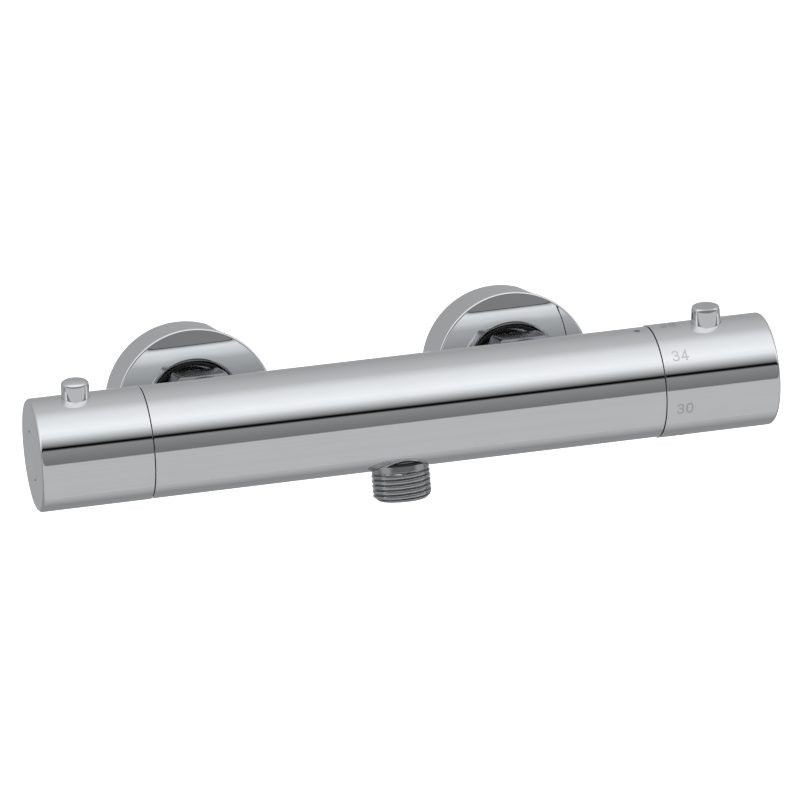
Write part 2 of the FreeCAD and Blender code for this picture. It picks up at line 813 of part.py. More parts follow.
def flow_spindle():
    """The flow spindle: a flatted driver on the moving disc and a tapped, splined end."""
    body = end_body("flow_spindle", "left")
    base = "flow_seal_width - flow_bore_depth + 2 * disc_width + slip"
    driver_end = base + " + driver_width"
    turned(body, "stem", [
        (base, "0"),
        (base, "driver_dia / 2"),
        (driver_end, "driver_dia / 2"),
        (driver_end, "spindle_dia / 2"),
        ("spindle_end - spindle_chamfer", "spindle_dia / 2"),
        ("spindle_end", "spindle_dia / 2 - spindle_chamfer"),
        ("spindle_end", "0"),
    ])
    for name, inner, outer in (("front", "-driver_flats / 2", "-driver_dia / 2 - bite"),
                               ("rear", "driver_flats / 2", "driver_dia / 2 + bite")):
        flat = outline(body, name + "_flat", [
            (inner, "-driver_dia"), (outer, "-driver_dia"), (outer, "driver_dia"), (inner, "driver_dia"),
        ], "YZ_Plane", base)
        cut(body, name + "_relief", flat, "driver_width")
    spindle_end(body)


# --- thermostatic cartridge, right end ---------------------------------------------------------


THERMO_NOSE = "thermo_seal_width - thermo_bore_depth"
THERMO_FRONT = "thermo_flange_width - thermo_mouth_depth"


def thermo_cartridge():
    """The thermostat's housing: hot windows round the nose, cold windows behind the cold port."""
    body = end_body("thermo_cartridge", "right")
    nose_end = THERMO_NOSE + " + thermo_nose_length"
    barrel = "thermo_bore_dia / 2 - slip"
    cover = THERMO_FRONT + " - thermo_cover_width"
    turned(body, "barrel", [
        (THERMO_NOSE, "0"),
        (THERMO_NOSE, "thermo_nose_dia / 2"),
        (nose_end, "thermo_nose_dia / 2"),
        (nose_end, barrel),
        ("-thermo_mouth_depth", barrel),
        ("-thermo_mouth_depth", "thermo_mouth_dia / 2 - slip"),
        (THERMO_FRONT, "thermo_mouth_dia / 2 - slip"),
        (THERMO_FRONT, "0"),
    ])
    grooved(body, "chamber", [
        (THERMO_NOSE, "0"),
        (THERMO_NOSE, "thermo_lip_dia / 2"),
        (THERMO_NOSE + " + thermo_lip_width", "thermo_lip_dia / 2"),
        (THERMO_NOSE + " + thermo_lip_width", "thermo_chamber_dia / 2"),
        (cover, "thermo_chamber_dia / 2"),
        (cover, "spindle_dia / 2 + slip"),
        (THERMO_FRONT, "spindle_dia / 2 + slip"),
        (THERMO_FRONT, "0"),
    ])
    grooved(body, "seal_groove", [
        ("-thermo_groove_at", barrel + " - thermo_groove_depth"),
        ("-thermo_groove_at", "thermo_bore_dia"),
        ("thermo_groove_width - thermo_groove_at", "thermo_bore_dia"),
        ("thermo_groove_width - thermo_groove_at", barrel + " - thermo_groove_depth"),
    ])
    for name, place in (("hot", "-hot_window_at"), ("cold", "inlet_spacing / 2 - body_right")):
        bored(body, name + "_windows", "XZ_Plane", (place, "0"), "thermo_window_dia",
              "-thermo_bore_dia", "2 * thermo_bore_dia")


def thermo_nose_seal():
    body = end_body("thermo_nose_seal", "right")
    ring(body, "seal", "-thermo_bore_depth", THERMO_NOSE, "thermo_lip_dia", "thermo_nose_dia")


def thermo_zone_seal():
    """The ring in the groove that parts hot water from cold."""
    body = end_body("thermo_zone_seal", "right")
    inner = "thermo_bore_dia - 2 * slip - 2 * thermo_groove_depth"
    ring(body, "seal", "-thermo_groove_at", "thermo_groove_width - thermo_groove_at",
         inner, "thermo_bore_dia")


def thermo_return_spring():
    """The spring that lifts the shuttle off the hot seat, as the sleeve it fills."""
    body = end_body("thermo_return_spring", "right")
    outer = "thermo_chamber_dia - 2 * running"
    ring(body, "spring", THERMO_NOSE + " + thermo_lip_width", "-shuttle_start",
         outer + " - 2 * spring_wire", outer)


def thermo_shuttle():
    """The sleeve that slides between the hot and the cold seat."""
    body = end_body("thermo_shuttle", "right")
    ring(body, "sleeve", "-shuttle_start", "shuttle_length - shuttle_start",
         "shuttle_bore", "thermo_chamber_dia - 2 * running")


def thermo_wax_element():
    """The wax capsule, held in the shuttle by its collar, with its pin."""
    body = end_body("thermo_wax_element", "right")
    collar = "shuttle_length - shuttle_start - element_collar_width"
    collar_end = "shuttle_length - shuttle_start"
    pin_end = collar_end + " + element_pin_length"
    turned(body, "capsule", [
        (collar_end + " - element_length", "0"),
        (collar_end + " - element_length", "element_dia / 2"),
        (collar, "element_dia / 2"),
        (collar, "shuttle_bore / 2"),
        (collar_end, "shuttle_bore / 2"),
        (collar_end, "element_pin_dia / 2"),
        (pin_end, "element_pin_dia / 2"),
        (pin_end, "0"),
    ])


PIN_END = "shuttle_length - shuttle_start + element_pin_length"


def thermo_push_cup():
    """The cup that carries the overload spring and presses on the wax element's pin."""
    body = end_body("thermo_push_cup", "right")
    outer = "thermo_chamber_dia / 2 - running"
    inner = outer + " - push_cup_wall"
    turned(body, "cup", [
        (PIN_END, "0"),
        (PIN_END, outer),
        (PIN_END + " + push_cup_length", outer),
        (PIN_END + " + push_cup_length", inner),
        (PIN_END + " + push_cup_end", inner),
        (PIN_END + " + push_cup_end", "0"),
    ])


def thermo_overload_spring():
    """The stiff spring inside the cup, as the sleeve it fills."""
    body = end_body("thermo_overload_spring", "right")
    foot = THERMO_FRONT + " - thermo_cover_width - thermo_foot_width"
    outer = "thermo_chamber_dia - 2 * running - 2 * push_cup_wall - 2 * running"
    ring(body, "spring", PIN_END + " + push_cup_end", foot,
         outer + " - 4 * spring_wire", outer)


def thermo_spindle():
    """The adjusting spindle: a broad foot under the cover and a tapped, splined end."""
    body = end_body("thermo_spindle", "right")
    cover = THERMO_FRONT + " - thermo_cover_width"
    foot = cover + " - thermo_foot_width"
    turned(body, "stem", [
        (foot, "0"),
        (foot, "thermo_foot_dia / 2 - push_cup_wall"),
        (cover, "thermo_foot_dia / 2 - push_cup_wall"),
        (cover, "spindle_dia / 2"),
        ("spindle_end - spindle_chamfer", "spindle_dia / 2"),
        ("spindle_end", "spindle_dia / 2 - spindle_chamfer"),
        ("spindle_end", "0"),
    ])
    spindle_end(body)


def thermo_retaining_nut():
    """The slotted ring nut that holds the cartridge's flange in the bar's mouth."""
    body = end_body("thermo_retaining_nut", "right")
    top = THERMO_FRONT + " + ring_nut_height"
    ring(body, "nut", THERMO_FRONT, top, "ring_nut_bore", "thermo_mouth_dia")
    reach = "thermo_mouth_dia / 2 + bite"
    slot = outline(body, "slot_outline", [
        ("ring_nut_slot / 2", "-(%s)" % reach),
        ("ring_nut_slot / 2", reach),
        ("-ring_nut_slot / 2", reach),
        ("-ring_nut_slot / 2", "-(%s)" % reach),
    ], "YZ_Plane", top + " - ring_nut_slot_depth")
    cut(body, "slots", slot, "ring_nut_slot_depth")


# --- handles, the same on both sides -----------------------------------------------------------


def stop_ring(label, side, start, bore):
    """A plastic ring whose lug meets the push button's foot at the stop."""
    body = end_body(label, side)
    end = start + " + stop_ring_width"
    ring(body, "ring", start, end, bore, "stop_ring_dia")
    half = "stop_lug_width / 2"
    lug = outline(body, "lug_outline", [
        ("-" + half, "stop_ring_dia / 2 - bite"),
        (half, "stop_ring_dia / 2 - bite"),
        (half, "stop_ring_dia / 2 + stop_lug_height"),
        ("-" + half, "stop_ring_dia / 2 + stop_lug_height"),
    ], "YZ_Plane", start)
    padded(body, "lug", lug, "stop_ring_width")


def handle(label, side, diameter, length, button_at, button_dia):
    """A handle: a cup open towards the bar, with a hub, a capped screw well and a button hole."""
    body = handle_body(label, side)
    mouth = "seam_gap"
    end = "seam_gap + " + length
    floor = end + " - handle_end_wall"
    inner = "%s / 2 - handle_wall" % diameter
    socket = "insert_start + insert_length"
    shelf = socket + " + screw_shelf"
    cap_seat = end + " - cap_width"
    cup = turned(body, "cup", [
        (mouth, inner),
        (mouth, "%s / 2" % diameter),
        (end, "%s / 2" % diameter),
        (end, "cap_dia / 2 + slip"),
        (cap_seat, "cap_dia / 2 + slip"),
        (cap_seat, "screw_head_dia / 2 + running"),
        (shelf, "screw_head_dia / 2 + running"),
        (shelf, "screw_dia / 2 + running"),
        (socket, "screw_dia / 2 + running"),
        (socket, "insert_dia / 2"),
        ("insert_start", "insert_dia / 2"),
        ("insert_start", "hub_dia / 2"),
        (floor, "hub_dia / 2"),
        (floor, inner),
    ])
    rounded(body, "soft_edge", cup, "handle_edge", (end, diameter))
    bored(body, "button_hole", "XY_Plane", (button_at, "0"), "%s + 2 * running" % button_dia,
          "hub_dia / 2 + bite", diameter)
    bored(body, "spring_seat", "XY_Plane", (button_at, "0"), "button_spring_way",
          "button_spring_seat", "hub_dia / 2")


def handle_screw(label, side):
    body = handle_body(label, side)
    shelf = "insert_start + insert_length + screw_shelf"
    head_end = shelf + " + screw_head_width"
    turned(body, "screw", [
        ("screw_reach", "0"),
        ("screw_reach", "screw_dia / 2"),
        (shelf, "screw_dia / 2"),
        (shelf, "screw_head_dia / 2"),
        (head_end, "screw_head_dia / 2"),
        (head_end, "0"),
    ])


def handle_cap(label, side, length):
    """The flush cap over the screw well, with two notches in its rim to prise it out by."""
    body = handle_body(label, side)
    end = "seam_gap + " + length
    turned(body, "cap", [
        (end + " - cap_width", "0"),
        (end + " - cap_width", "cap_dia / 2"),
        (end, "cap_dia / 2"),
        (end, "0"),
    ])
    leaning = {"left": -1, "right": 1}[side]
    for name, sign in (("upper", 1), ("lower", -1)):
        centre = ("%d * cap_notch_across" % (sign * leaning), "%d * cap_notch_up" % sign)
        bored(body, name + "_notch", "YZ_Plane", centre, "cap_notch_dia",
              end + " - cap_notch_depth", "cap_notch_depth")


def button_body(label, side, button_at):
    place = {"left": "-(body_left + %s)", "right": "body_right + %s"}[side] % button_at
    return new_body(label, place, TILT * UPWARDS)


def push_button(label, side, button_at, diameter, top_diameter):
    """A push button with a retaining rim below the handle's wall and a well for its spring."""
    body = button_body(label, side, button_at)
    rim_top = "button_foot + button_rim_width"
    well = "button_spring_way / 2"
    button = turned(body, "button", [
        ("button_foot", well),
        ("button_foot", "%s / 2 + button_rim" % diameter),
        (rim_top, "%s / 2 + button_rim" % diameter),
        (rim_top, "%s / 2" % diameter),
        ("body_dia / 2", "%s / 2" % diameter),
        ("button_top", "%s / 2" % top_diameter),
        ("button_top", "0"),
        ("button_spring_top", "0"),
        ("button_spring_top", well),
    ])
    rounded(body, "soft_edge", button, "button_edge", ("button_top", top_diameter))


def button_spring(label, side, button_at):
    """The button's return spring, as the sleeve it fills."""
    body = button_body(label, side, button_at)
    ring(body, "spring", "button_spring_seat", "button_spring_top",
         "button_spring_dia - 2 * spring_wire", "button_spring_dia")


# --- everything --------------------------------------------------------------------------------


def build_all():
    valve_body()
    outlet_nipple()
    outlet_seal()
    for side in SIDES:
        inlet_tail(side)
        check_cage(side)
        check_poppet(side)
        check_spring(side)
        inlet_washer(side)
        strainer(side)
        union_nut(side)
        eccentric_union(side)
        rosette(side)
    flow_cartridge()
    flow_nose_seal()
    first_disc = "flow_seal_width - flow_bore_depth"
    ceramic_disc("flow_fixed_disc", first_disc, True)
    ceramic_disc("flow_moving_disc", first_disc + " + disc_width + slip", False)
    flow_spindle()
    stop_ring("flow_stop_ring", "left", "flow_hex_width", "flow_neck_dia")
    thermo_cartridge()
    thermo_nose_seal()
    thermo_zone_seal()
    thermo_return_spring()
    thermo_shuttle()
    thermo_wax_element()
    thermo_push_cup()
    thermo_overload_spring()
    thermo_spindle()
    thermo_retaining_nut()
    stop_ring("temp_stop_ring", "right", THERMO_FRONT + " + ring_nut_height", "ring_nut_bore")
    for name, side in (("flow", "left"), ("temp", "right")):
        diameter, length = name + "_handle_dia", name + "_handle_length"
        button_at, button_dia = name + "_button_at", name + "_button_dia"
        handle_insert(name + "_handle_insert", side)
        handle(name + "_handle", side, diameter, length, button_at, button_dia)
        handle_screw(name + "_handle_screw", side)
        handle_cap(name + "_handle_cap", side, length)
        push_button(name + "_button", side, button_at, button_dia, name + "_button_top_dia")
        button_spring(name + "_button_spring", side, button_at)


def check_all(bodies):
    """Stops if anything failed, is not a valid solid, or cut nothing."""
    for item in DOC.Objects:
        if "Invalid" in item.State or "Error" in item.State:
            raise ValueError("%s failed: %s" % (item.Label, item.State))
        if item.TypeId in ("PartDesign::Pocket", "PartDesign::Groove"):
            removed = item.BaseFeature.Shape.Volume - item.Shape.Volume
            if removed < TOLERANCE:
                raise ValueError("%s cuts nothing" % item.Label)
    for body in bodies:
        if body.Shape.isNull() or not body.Shape.isValid():
            raise ValueError("%s has no valid shape" % body.Label)
        if len(body.Shape.Solids) != 1:
            raise ValueError("%s is %d solids" % (body.Label, len(body.Shape.Solids)))


build_all()
DOC.recompute()
BODIES = [item for item in DOC.Objects if item.TypeId == "PartDesign::Body"]
check_all(BODIES)
os.makedirs("parts", exist_ok=True)
for body in BODIES:
    body.Shape.exportStep("parts/%s.step" % body.Label)
print("%d sub-parts written" % len(BODIES))
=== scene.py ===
import math

import bmesh
import bpy
from mathutils import Matrix, Vector


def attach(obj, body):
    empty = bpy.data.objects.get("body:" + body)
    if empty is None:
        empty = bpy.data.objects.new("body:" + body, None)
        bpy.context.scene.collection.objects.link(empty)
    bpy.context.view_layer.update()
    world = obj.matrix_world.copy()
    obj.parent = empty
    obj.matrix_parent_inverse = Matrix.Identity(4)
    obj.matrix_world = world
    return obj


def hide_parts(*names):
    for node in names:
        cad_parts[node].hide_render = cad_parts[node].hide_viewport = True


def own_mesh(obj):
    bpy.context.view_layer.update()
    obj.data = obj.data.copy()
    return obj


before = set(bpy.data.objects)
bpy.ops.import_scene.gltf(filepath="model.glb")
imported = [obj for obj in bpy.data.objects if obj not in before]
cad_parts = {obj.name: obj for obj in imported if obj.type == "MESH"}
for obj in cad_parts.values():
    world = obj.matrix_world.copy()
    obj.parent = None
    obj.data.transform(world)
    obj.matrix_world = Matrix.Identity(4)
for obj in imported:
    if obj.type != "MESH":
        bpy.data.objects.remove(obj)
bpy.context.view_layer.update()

# Thermostatic bar mixer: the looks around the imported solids. Lengths are written in
# millimetres and turned into metres by MM.

MM = 0.001

AXIS = -85.0
R_BAR = 20.0
BAR_LEFT, BAR_RIGHT = -91.0, 94.5
EDGE = 0.15
SEAM = 0.5
INLETS = {"left": -60.0, "right": 60.0}

# Outside radius and pitch of the G 1/2 and G 3/4 threads.
R_HALF_INCH, R_THREE_QUARTER = 10.4775, 13.2205
PITCH = 1.814

# The buttons lean towards the user.
TILT = math.radians(11.0)
BUTTON_LINE = Vector((0.0, -math.sin(TILT), math.cos(TILT)))


# --- materials ---------------------------------------------------------------------------------


def grey(value):
    """A neutral colour."""
    return (value, value, value, 1.0)


def new_material(name, base, metallic, roughness):
    """A principled material; the tree, its shader and its object coordinates."""
    material = bpy.data.materials.new(name)
    material.use_nodes = True
    tree = material.node_tree
    shader = tree.nodes["Principled BSDF"]
    shader.inputs["Base Color"].default_value = base
    shader.inputs["Metallic"].default_value = metallic
    shader.inputs["Roughness"].default_value = roughness
    place = tree.nodes.new("ShaderNodeTexCoord")
    return material, tree, shader, place.outputs["Object"]


def noise(tree, place, scale, detail=3.0, stretch=None):
    """Noise over the object; stretch is a scale for each axis."""
    node = tree.nodes.new("ShaderNodeTexNoise")
    node.inputs["Scale"].default_value = scale
    node.inputs["Detail"].default_value = detail
    if stretch:
        mapping = tree.nodes.new("ShaderNodeMapping")
        mapping.inputs["Scale"].default_value = stretch
        tree.links.new(place, mapping.inputs["Vector"])
        place = mapping.outputs["Vector"]
    tree.links.new(place, node.inputs["Vector"])
    return node.outputs["Fac"]


def spread(tree, value, low, high, start=0.3, end=0.7):
    """Turns a 0 to 1 pattern into a range of numbers."""
    node = tree.nodes.new("ShaderNodeMapRange")
    node.inputs["From Min"].default_value = start
    node.inputs["From Max"].default_value = end
    node.inputs["To Min"].default_value = low
    node.inputs["To Max"].default_value = high
    tree.links.new(value, node.inputs["Value"])
    return node.outputs["Result"]


def tinted(tree, value, first, second):
    """Turns a 0 to 1 pattern into a colour between two."""
    ramp = tree.nodes.new("ShaderNodeValToRGB")
    ramp.color_ramp.elements[0].position = 0.3
    ramp.color_ramp.elements[1].position = 0.7
    ramp.color_ramp.elements[0].color = first
    ramp.color_ramp.elements[1].color = second
    tree.links.new(value, ramp.inputs["Fac"])
    return ramp.outputs["Color"]


def bumped(tree, shader, value, depth):
    """Relief from a pattern, in metres."""
    bump = tree.nodes.new("ShaderNodeBump")
    bump.inputs["Distance"].default_value = depth
    bump.inputs["Strength"].default_value = 1.0
    tree.links.new(value, bump.inputs["Height"])
    tree.links.new(bump.outputs["Normal"], shader.inputs["Normal"])


def chrome(name, dark, light, low, high):
    """Polished plating: faint water marks in its tone and gloss."""
    material, tree, shader, place = new_material(name, light, 1.0, low)
    haze = noise(tree, place, 55.0, 4.0)
    smears = noise(tree, place, 140.0, 2.0, (1.0, 0.35, 0.35))
    tree.links.new(tinted(tree, haze, dark, light), shader.inputs["Base Color"])
    tree.links.new(spread(tree, smears, low, high), shader.inputs["Roughness"])
    return material


def brass(name, dark, light):
    """Turned brass: a fine grain and a duller tone in patches."""
    material, tree, shader, place = new_material(name, light, 1.0, 0.28)
    patches = noise(tree, place, 160.0, 5.0)
    tree.links.new(tinted(tree, patches, dark, light), shader.inputs["Base Color"])
    tree.links.new(spread(tree, patches, 0.2, 0.42), shader.inputs["Roughness"])
    bumped(tree, shader, noise(tree, place, 900.0, 2.0), 0.00002)
    return material


def moulded(name, dark, light, roughness, grain=700.0, depth=0.00002):
    """Moulded plastic or rubber, with a fine grain."""
    material, tree, shader, place = new_material(name, light, 0.0, roughness)
    patches = noise(tree, place, 120.0, 4.0)
    tree.links.new(tinted(tree, patches, dark, light), shader.inputs["Base Color"])
    tree.links.new(spread(tree, patches, roughness - 0.06, roughness + 0.08),
                   shader.inputs["Roughness"])
    bumped(tree, shader, noise(tree, place, grain, 2.0), depth)
    return material


def maths(tree, operation, first, second=None, clamp=False):
    """One step of arithmetic on numbers or sockets."""
    node = tree.nodes.new("ShaderNodeMath")
    node.operation = operation
    node.use_clamp = clamp
    for socket, value in zip(node.inputs, (first, second)):
        if value is None:
            continue
        if isinstance(value, (int, float)):
            socket.default_value = value
        else:
            tree.links.new(value, socket)
    return node.outputs[0]


def mixed(tree, factor, first, second):
    """A colour from the first to the second as the factor goes from 0 to 1."""
    node = tree.nodes.new("ShaderNodeMix")
    node.data_type = "RGBA"
    tree.links.new(factor, node.inputs["Factor"])
    for value, name in ((first, "A"), (second, "B")):
        socket = next(item for item in node.inputs if item.name == name and item.type == "RGBA")
        if isinstance(value, tuple):
            socket.default_value = value
        else:
            tree.links.new(value, socket)
    return next(item for item in node.outputs if item.type == "RGBA")


def split_of(tree, place):
    """The three coordinates of a vector."""
    split = tree.nodes.new("ShaderNodeSeparateXYZ")
    tree.links.new(place, split.inputs["Vector"])
    return split.outputs


def chrome_with_painted_root_shade(name, root, crest, rim):
    """Plating on the hose thread, darkened in its roots as painted shade and plain below its rim;
    root and crest are distances from the outlet's axis; millimetres."""
    material, tree, shader, place = new_material(name, grey(0.6), 1.0, 0.05)
    along, depth, up = split_of(tree, place)
    depth = maths(tree, "SUBTRACT", depth, AXIS * MM)
    away = maths(tree, "SQRT", maths(tree, "ADD", maths(tree, "MULTIPLY", along, along),
                                     maths(tree, "MULTIPLY", depth, depth)))
    height = spread(tree, away, 0.0, 1.0, root * MM, crest * MM)
    height = maths(tree, "MAXIMUM", height, maths(tree, "LESS_THAN", up, rim * MM))
    smears = noise(tree, place, 220.0, 3.0)
    plain = tinted(tree, smears, (0.46, 0.465, 0.475, 1), (0.56, 0.565, 0.58, 1))
    # painted shade: dark grey in the thread's roots, the plating's own tone on its crests and below
    # its rim
    tone = mixed(tree, height, grey(0.12), plain)
    tree.links.new(tone, shader.inputs["Base Color"])
    tree.links.new(spread(tree, smears, 0.04, 0.10), shader.inputs["Roughness"])
    return material


def brass_with_painted_well_shade(name, dark, light, start, end):
    """Turned brass, dark on its front thread up to start as painted shade of the rosette's well,
    and bare from end to the wall; places along y in metres."""
    material, tree, shader, place = new_material(name, light, 1.0, 0.3)
    depth = spread(tree, split_of(tree, place)["Y"], 0.0, 1.0, start, end)
    patches = noise(tree, place, 160.0, 5.0)
    metal = tinted(tree, patches, (0.50, 0.37, 0.17, 1), light)
    # painted shade: near black on the front thread up to start, where it shows in the rosette's
    # well, then bare brass from end
    tree.links.new(mixed(tree, depth, dark, metal), shader.inputs["Base Color"])
    tree.links.new(spread(tree, patches, 0.22, 0.42), shader.inputs["Roughness"])
    return material


CHROME = chrome("chrome", (0.78, 0.79, 0.80, 1), (0.80, 0.81, 0.82, 1), 0.010, 0.022)
FROSTED = chrome("frosted_mark", (0.56, 0.56, 0.56, 1), (0.64, 0.64, 0.64, 1), 0.30, 0.42)
PAINTED = moulded("painted_dot", (0.13, 0.13, 0.13, 1), (0.22, 0.22, 0.22, 1), 0.5)
# The nuts' plating: rougher than the rest, and its darker tone is painted shade.
DULL_SHADED_CHROME = chrome("chrome_dull_and_shaded", (0.22, 0.22, 0.24, 1), (0.30, 0.30, 0.325, 1), 0.10, 0.22)
ROOT_SHADED_CHROME = chrome_with_painted_root_shade("chrome_thread_painted_root_shade", 9.45, 10.0, -30.1)
WELL_SHADED_BRASS = brass_with_painted_well_shade("brass_with_painted_well_shade", (0.06, 0.058, 0.052, 1), (0.72, 0.55, 0.28, 1),
                       -0.0195, -0.0165)
BRASS = brass("turned_brass", (0.60, 0.44, 0.20, 1), (0.76, 0.58, 0.30, 1))
STEEL = chrome("spring_steel", (0.40, 0.41, 0.43, 1), (0.56, 0.57, 0.58, 1), 0.2, 0.36)
RUBBER = moulded("rubber", (0.012, 0.012, 0.013, 1), (0.03, 0.03, 0.032, 1), 0.62)
PLASTIC = moulded("moulded_plastic", (0.55, 0.56, 0.57, 1), (0.68, 0.69, 0.70, 1), 0.42)
CERAMIC = moulded("ceramic", (0.80, 0.79, 0.76, 1), (0.88, 0.87, 0.84, 1), 0.18, 2000.0, 0.000004)


# --- mesh code ---------------------------------------------------------------------------------


def frame_at(origin, axis, guide=(0.0, 0.0, 1.0)):
    """A frame whose first axis is a turned piece's own axis; guide leans to the second."""
    first = Vector(axis).normalized()
    third = first.cross(Vector(guide)).normalized()
    second = third.cross(first)
    matrix = Matrix((first, second, third)).transposed().to_4x4()
    matrix.translation = Vector(origin) * MM
    return matrix


BAR = frame_at((0, AXIS, 0), (1, 0, 0))
DOWN = frame_at((0, AXIS, 0), (0, 0, -1), (0, -1, 0))
LEFT_END = frame_at((BAR_LEFT, AXIS, 0), (-1, 0, 0))
RIGHT_END = frame_at((BAR_RIGHT, AXIS, 0), (1, 0, 0))
INLET = {side: frame_at((x, AXIS, 0), (0, 1, 0)) for side, x in INLETS.items()}


def softened(corners, closed):
    """A profile with rounded corners. Each corner is (along, radius) or (along, radius, round);
    the answer is rows of (along, radius, sharp)."""
    rows = []
    count = len(corners)
    for index, corner in enumerate(corners):
        here = Vector(corner[:2])
        size = corner[2] if len(corner) > 2 else 0.0
        ends = not closed and index in (0, count - 1)
        before = Vector(corners[index - 1][:2])
        after = Vector(corners[(index + 1) % count][:2])
        if ends or (before - here).length < 1e-6 or (after - here).length < 1e-6:
            rows.append((here.x, here.y, False))
            continue
        back, ahead = (before - here).normalized(), (after - here).normalized()
        angle = back.angle(ahead)
        if size <= 0.0:
            rows.append((here.x, here.y, angle < math.radians(160)))
            continue
        reach = size / math.tan(angle / 2)
        middle = here + (back + ahead).normalized() * (size / math.sin(angle / 2))
        first, last = here + back * reach, here + ahead * reach
        steps = max(4, round((math.pi - angle) / math.radians(12)))
        ease = min(0.03, reach / 8)
        rows.append((*(first + back * ease), False))
        start, end = first - middle, last - middle
        sweep = math.atan2(start.cross(end), start.dot(end))
        for step in range(steps + 1):
            part = Matrix.Rotation(sweep * step / steps, 2) @ start
            rows.append((*(middle + part), False))
        rows.append((*(last + ahead * ease), False))
    return rows


def turned(name, corners, place, material, steps=192, closed=True, shape=None, rows_at=()):
    """A turned piece. shape(along, radius, angle) may change the radius, for a thread or hexagon;
    rows_at adds rows where a straight run needs them."""
    rows = with_rows(softened(corners, closed), rows_at, closed)
    mesh = bmesh.new()
    rings = []
    for along, radius, _ in rows:
        if radius < 1e-6:
            rings.append([mesh.verts.new((along * MM, 0, 0))])
            continue
        ring = []
        for step in range(steps):
            angle = 2 * math.pi * step / steps
            real = shape(along, radius, angle) if shape else radius
            ring.append(mesh.verts.new((along * MM, real * MM * math.cos(angle),
                                        real * MM * math.sin(angle))))
        rings.append(ring)
    for index in range(len(rings) if closed else len(rings) - 1):
        join(mesh, rings[index], rings[(index + 1) % len(rings)])
    for ring, (_, _, sharp) in zip(rings, rows):
        if sharp and len(ring) > 1:
            for step in range(steps):
                edge = mesh.edges.get((ring[step], ring[(step + 1) % steps]))
                if edge:
                    edge.smooth = False
    bmesh.ops.recalc_face_normals(mesh, faces=mesh.faces)
    return finished(name, mesh, place, material)


def with_rows(rows, places, closed):
    """Adds rows on the straight runs that pass the given places along the axis."""
    for place in places:
        for index in range(len(rows) if closed else len(rows) - 1):
            one, two = rows[index], rows[(index + 1) % len(rows)]
            low, high = min(one[0], two[0]), max(one[0], two[0])
            if low + 0.01 < place[0] < high - 0.01 and min(one[1], two[1]) > place[1]:
                share = (place[0] - one[0]) / (two[0] - one[0])
                radius = one[1] + share * (two[1] - one[1])
                rows.insert(index + 1, (place[0], radius, False))
                break
    return rows


def join(mesh, one, two):
    """Faces between two rings, either of which may be a single point."""
    if len(one) == 1 and len(two) == 1:
        return
    count = max(len(one), len(two))
    for step in range(count):
        following = (step + 1) % count
        if len(one) == 1:
            mesh.faces.new((one[0], two[step], two[following]))
        elif len(two) == 1:
            mesh.faces.new((one[step], two[0], one[following]))
        else:
            mesh.faces.new((one[step], two[step], two[following], one[following]))


def finished(name, mesh, place, material):
    """The bmesh as an object in its frame, smooth shaded."""
    data = bpy.data.meshes.new(name)
    for face in mesh.faces:
        face.smooth = True
    mesh.to_mesh(data)
    mesh.free()
    data.transform(place)
    data.materials.append(material)
    piece = bpy.data.objects.new(name, data)
    bpy.context.scene.collection.objects.link(piece)
    return piece


def carved(piece, tool, operation="DIFFERENCE"):
    """Makes one exact cut or join in the piece; the tool goes."""
    cut = piece.modifiers.new("cut", "BOOLEAN")
    cut.object = tool
    cut.operation = operation
    cut.solver = "EXACT"
    bpy.context.view_layer.update()
    graph = bpy.context.evaluated_depsgraph_get()
    data = bpy.data.meshes.new_from_object(piece.evaluated_get(graph))
    piece.modifiers.clear()
    old = piece.data
    piece.data = data
    bpy.data.meshes.remove(old)
    bpy.data.objects.remove(tool)
    creased(piece)


def creased(piece):
    """Marks the edges where a cut left a corner, so that shading breaks there."""
    mesh = bmesh.new()
    mesh.from_mesh(piece.data)
    for edge in mesh.edges:
        edge.smooth = edge.calc_face_angle(0.0) < math.radians(32)
    mesh.to_mesh(piece.data)
    mesh.free()


def eased(piece, place, centre, reach, radius, width):
    """Rounds the edges of a cut where it meets the skin: those on the skin of that radius, and
    no further than reach from the centre along the frame's axis."""
    inverse = place.inverted()
    mesh = bmesh.new()
    mesh.from_mesh(piece.data)
    chosen = []
    for edge in mesh.edges:
        if len(edge.link_faces) != 2 or edge.calc_face_angle(0.0) < math.radians(25):
            continue
        ends = [inverse @ vert.co for vert in edge.verts]
        on_skin = all(abs(math.hypot(end.y, end.z) - radius * MM) < 0.04 * MM for end in ends)
        close = all(abs(end.x - centre * MM) < reach * MM for end in ends)
        if on_skin and close:
            chosen.append(edge)
    if chosen:
        bmesh.ops.bevel(mesh, geom=chosen, offset=width * MM, segments=2,
                        profile=0.5, affect="EDGES", clamp_overlap=True)
    for face in mesh.faces:
        face.smooth = True
    mesh.to_mesh(piece.data)
    mesh.free()
    creased(piece)


def skin_normals(piece, place, radius):
    """True normals on a round skin, so that cuts in it leave its reflections straight."""
    inverse = place.inverted()
    turn = place.to_3x3()
    data = piece.data
    local = [inverse @ vert.co for vert in data.vertices]
    on_skin = [abs(math.hypot(point.y, point.z) - radius * MM) < 0.012 * MM for point in local]
    normals = [Vector((0.0, 0.0, 0.0))] * len(data.loops)
    for face in data.polygons:
        if not all(on_skin[index] for index in face.vertices):
            continue
        for loop in face.loop_indices:
            point = local[data.loops[loop].vertex_index]
            normals[loop] = turn @ Vector((0.0, point.y, point.z)).normalized()
    data.normals_split_custom_set(normals)


def stands_for(piece, body, node):
    """Puts the piece on its body in place of a solid."""
    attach(piece, body)
    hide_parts(node)


def groove_of(phase):
    """Depth of a thread, 0 at the crest and 1 at the root, over one turn: a broad, slightly
    rounded crest and a narrow root."""
    sag, half_root = 0.07, 0.22
    away = abs(phase - 0.5)
    if away > half_root:
        return sag * ((0.5 - away) / 0.28) ** 2
    wave = 0.5 + 0.5 * math.cos(math.pi * away / half_root)
    return min(1.0, sag + 0.93 * min(1.0, wave * 1.15))


